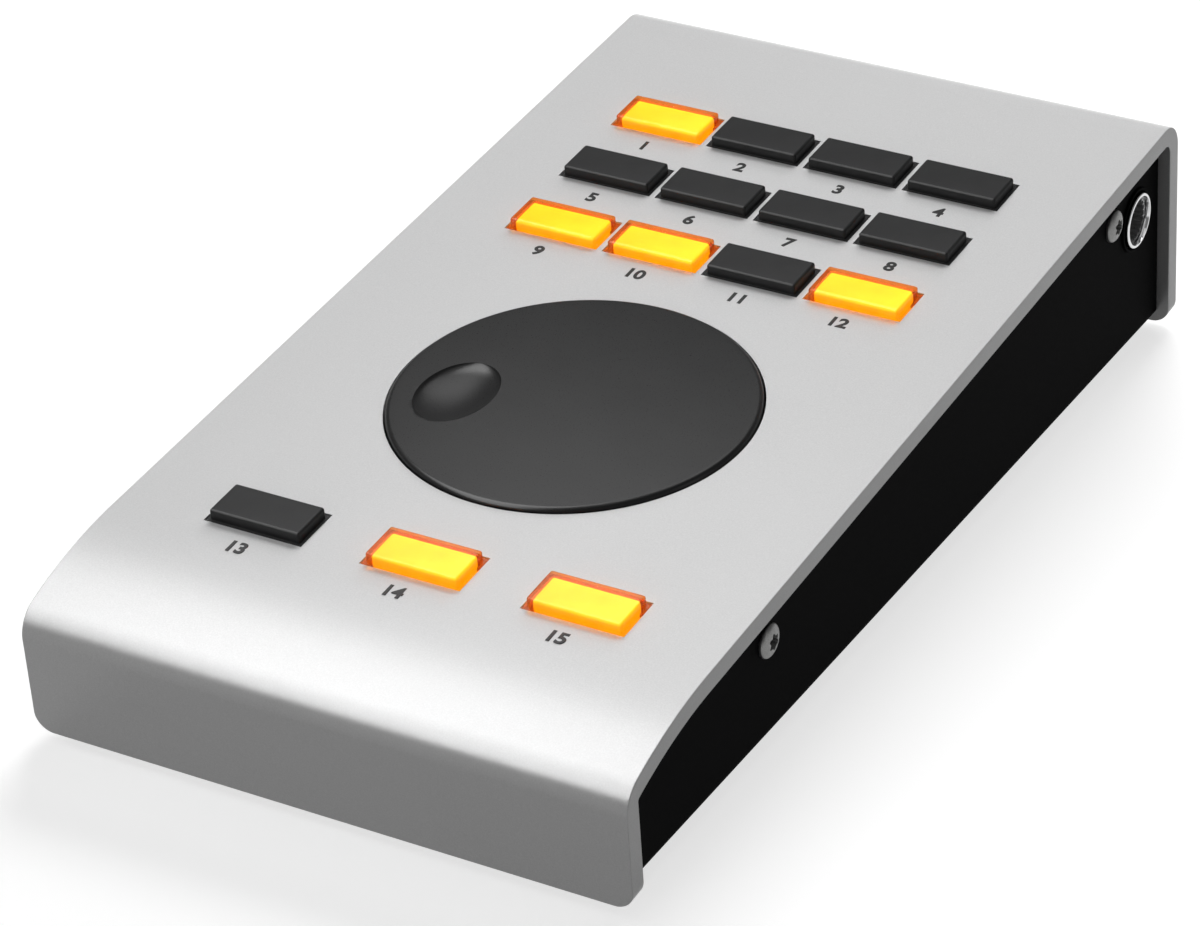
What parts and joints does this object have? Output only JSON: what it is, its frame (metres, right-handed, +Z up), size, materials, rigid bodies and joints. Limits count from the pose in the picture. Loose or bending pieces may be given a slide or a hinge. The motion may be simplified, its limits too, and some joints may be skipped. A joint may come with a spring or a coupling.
{
  "type": "audio interface remote control",
  "caption": "Wedge-shaped desktop remote with a bent aluminium top, a large flat dial, a grid of small lit push keys and a side jack.",
  "frame": {"origin": "on the table, under the middle of the case's footprint", "axes": "+X to the user's right, +Y away from the user to the high rear wall, +Z up"},
  "size_m": [0.096, 0.1854, 0.0383],
  "materials": {
    "cover_aluminium": "bead blasted and clear anodised",
    "tray_black": "matte black powder coat",
    "key_amber": "clear amber, lit from inside",
    "key_smoked": "smoked, satin",
    "diffuser_yellow": "milky, glowing yellow",
    "diffuser_dark": "milky, unlit",
    "dial_black": "fine satin",
    "screw_steel": "dark nickel plate",
    "jack_chrome": "polished",
    "rail_aluminium": "raw extrusion",
    "board_green": "solder mask",
    "inner_black": "moulded",
    "foot_rubber": "moulded"
  },
  "bodies": {
    "case": {"top_cover": "cover_aluminium", "base_tray": "tray_black", "side_screw_front_left": "screw_steel", "board_screw_front_left": "screw_steel", "rubber_foot_front_left": "foot_rubber", "side_screw_front_right": "screw_steel", "board_screw_front_right": "screw_steel", "rubber_foot_front_right": "foot_rubber", "side_screw_rear_left": "screw_steel", "board_screw_rear_left": "screw_steel", "rubber_foot_rear_left": "foot_rubber", "side_screw_rear_right": "screw_steel", "board_screw_rear_right": "screw_steel", "rubber_foot_rear_right": "foot_rubber", "side_rail_left": "rail_aluminium", "side_rail_right": "rail_aluminium", "main_board": "board_green", "switch_bank_row_1": "inner_black", "switch_bank_row_2": "inner_black", "switch_bank_row_3": "inner_black", "switch_bank_front": "inner_black", "encoder_body": "inner_black", "jack_sleeve": "jack_chrome", "jack_washer": "inner_black", "jack_body": "inner_black", "usb_socket": "screw_steel", "usb_insulator": "inner_black"},
    "dial": {"dial_knob": "dial_black", "dial_shaft": "screw_steel"},
    "key_1": {"key_cap_1": "key_amber", "key_diffuser_1": "diffuser_yellow"},
    "key_2": {"key_cap_2": "key_smoked", "key_diffuser_2": "diffuser_dark"},
    "key_3": {"key_cap_3": "key_smoked", "key_diffuser_3": "diffuser_dark"},
    "key_4": {"key_cap_4": "key_smoked", "key_diffuser_4": "diffuser_dark"},
    "key_5": {"key_cap_5": "key_smoked", "key_diffuser_5": "diffuser_dark"},
    "key_6": {"key_cap_6": "key_smoked", "key_diffuser_6": "diffuser_dark"},
    "key_7": {"key_cap_7": "key_smoked", "key_diffuser_7": "diffuser_dark"},
    "key_8": {"key_cap_8": "key_smoked", "key_diffuser_8": "diffuser_dark"},
    "key_9": {"key_cap_9": "key_amber", "key_diffuser_9": "diffuser_yellow"},
    "key_10": {"key_cap_10": "key_amber", "key_diffuser_10": "diffuser_yellow"},
    "key_11": {"key_cap_11": "key_smoked", "key_diffuser_11": "diffuser_dark"},
    "key_12": {"key_cap_12": "key_amber", "key_diffuser_12": "diffuser_yellow"},
    "key_13": {"key_cap_13": "key_smoked", "key_diffuser_13": "diffuser_dark"},
    "key_14": {"key_cap_14": "key_amber", "key_diffuser_14": "diffuser_yellow"},
    "key_15": {"key_cap_15": "key_amber", "key_diffuser_15": "diffuser_yellow"}
  },
  "joints": [
    {"name": "key_1_press", "type": "slide", "parent": "case", "child": "key_1", "axis": [0, 0.0785, -0.9969], "range_m": [0, 0.0012], "stiffness_N_per_m": 800, "springref_m": -0.00125},
    {"name": "key_2_press", "type": "slide", "parent": "case", "child": "key_2", "axis": [0, 0.0785, -0.9969], "range_m": [0, 0.0012], "stiffness_N_per_m": 800, "springref_m": -0.00125},
    {"name": "key_3_press", "type": "slide", "parent": "case", "child": "key_3", "axis": [0, 0.0785, -0.9969], "range_m": [0, 0.0012], "stiffness_N_per_m": 800, "springref_m": -0.00125},
    {"name": "key_4_press", "type": "slide", "parent": "case", "child": "key_4", "axis": [0, 0.0785, -0.9969], "range_m": [0, 0.0012], "stiffness_N_per_m": 800, "springref_m": -0.00125},
    {"name": "key_5_press", "type": "slide", "parent": "case", "child": "key_5", "axis": [0, 0.0785, -0.9969], "range_m": [0, 0.0012], "stiffness_N_per_m": 800, "springref_m": -0.00125},
    {"name": "key_6_press", "type": "slide", "parent": "case", "child": "key_6", "axis": [0, 0.0785, -0.9969], "range_m": [0, 0.0012], "stiffness_N_per_m": 800, "springref_m": -0.00125},
    {"name": "key_7_press", "type": "slide", "parent": "case", "child": "key_7", "axis": [0, 0.0785, -0.9969], "range_m": [0, 0.0012], "stiffness_N_per_m": 800, "springref_m": -0.00125},
    {"name": "key_8_press", "type": "slide", "parent": "case", "child": "key_8", "axis": [0, 0.0785, -0.9969], "range_m": [0, 0.0012], "stiffness_N_per_m": 800, "springref_m": -0.00125},
    {"name": "key_9_press", "type": "slide", "parent": "case", "child": "key_9", "axis": [0, 0.0785, -0.9969], "range_m": [0, 0.0012], "stiffness_N_per_m": 800, "springref_m": -0.00125},
    {"name": "key_10_press", "type": "slide", "parent": "case", "child": "key_10", "axis": [0, 0.0785, -0.9969], "range_m": [0, 0.0012], "stiffness_N_per_m": 800, "springref_m": -0.00125},
    {"name": "key_11_press", "type": "slide", "parent": "case", "child": "key_11", "axis": [0, 0.0785, -0.9969], "range_m": [0, 0.0012], "stiffness_N_per_m": 800, "springref_m": -0.00125},
    {"name": "key_12_press", "type": "slide", "parent": "case", "child": "key_12", "axis": [0, 0.0785, -0.9969], "range_m": [0, 0.0012], "stiffness_N_per_m": 800, "springref_m": -0.00125},
    {"name": "key_13_press", "type": "slide", "parent": "case", "child": "key_13", "axis": [0, 0.0785, -0.9969], "range_m": [0, 0.0012], "stiffness_N_per_m": 800, "springref_m": -0.00125},
    {"name": "key_14_press", "type": "slide", "parent": "case", "child": "key_14", "axis": [0, 0.0785, -0.9969], "range_m": [0, 0.0012], "stiffness_N_per_m": 800, "springref_m": -0.00125},
    {"name": "key_15_press", "type": "slide", "parent": "case", "child": "key_15", "axis": [0, 0.0785, -0.9969], "range_m": [0, 0.0012], "stiffness_N_per_m": 800, "springref_m": -0.00125},
    {"name": "dial_turn", "type": "hinge", "parent": "case", "child": "dial", "pos_m": [0, -0.02036, 0.03007], "axis": [0, -0.0785, 0.9969], "continuous": true}
  ]
}
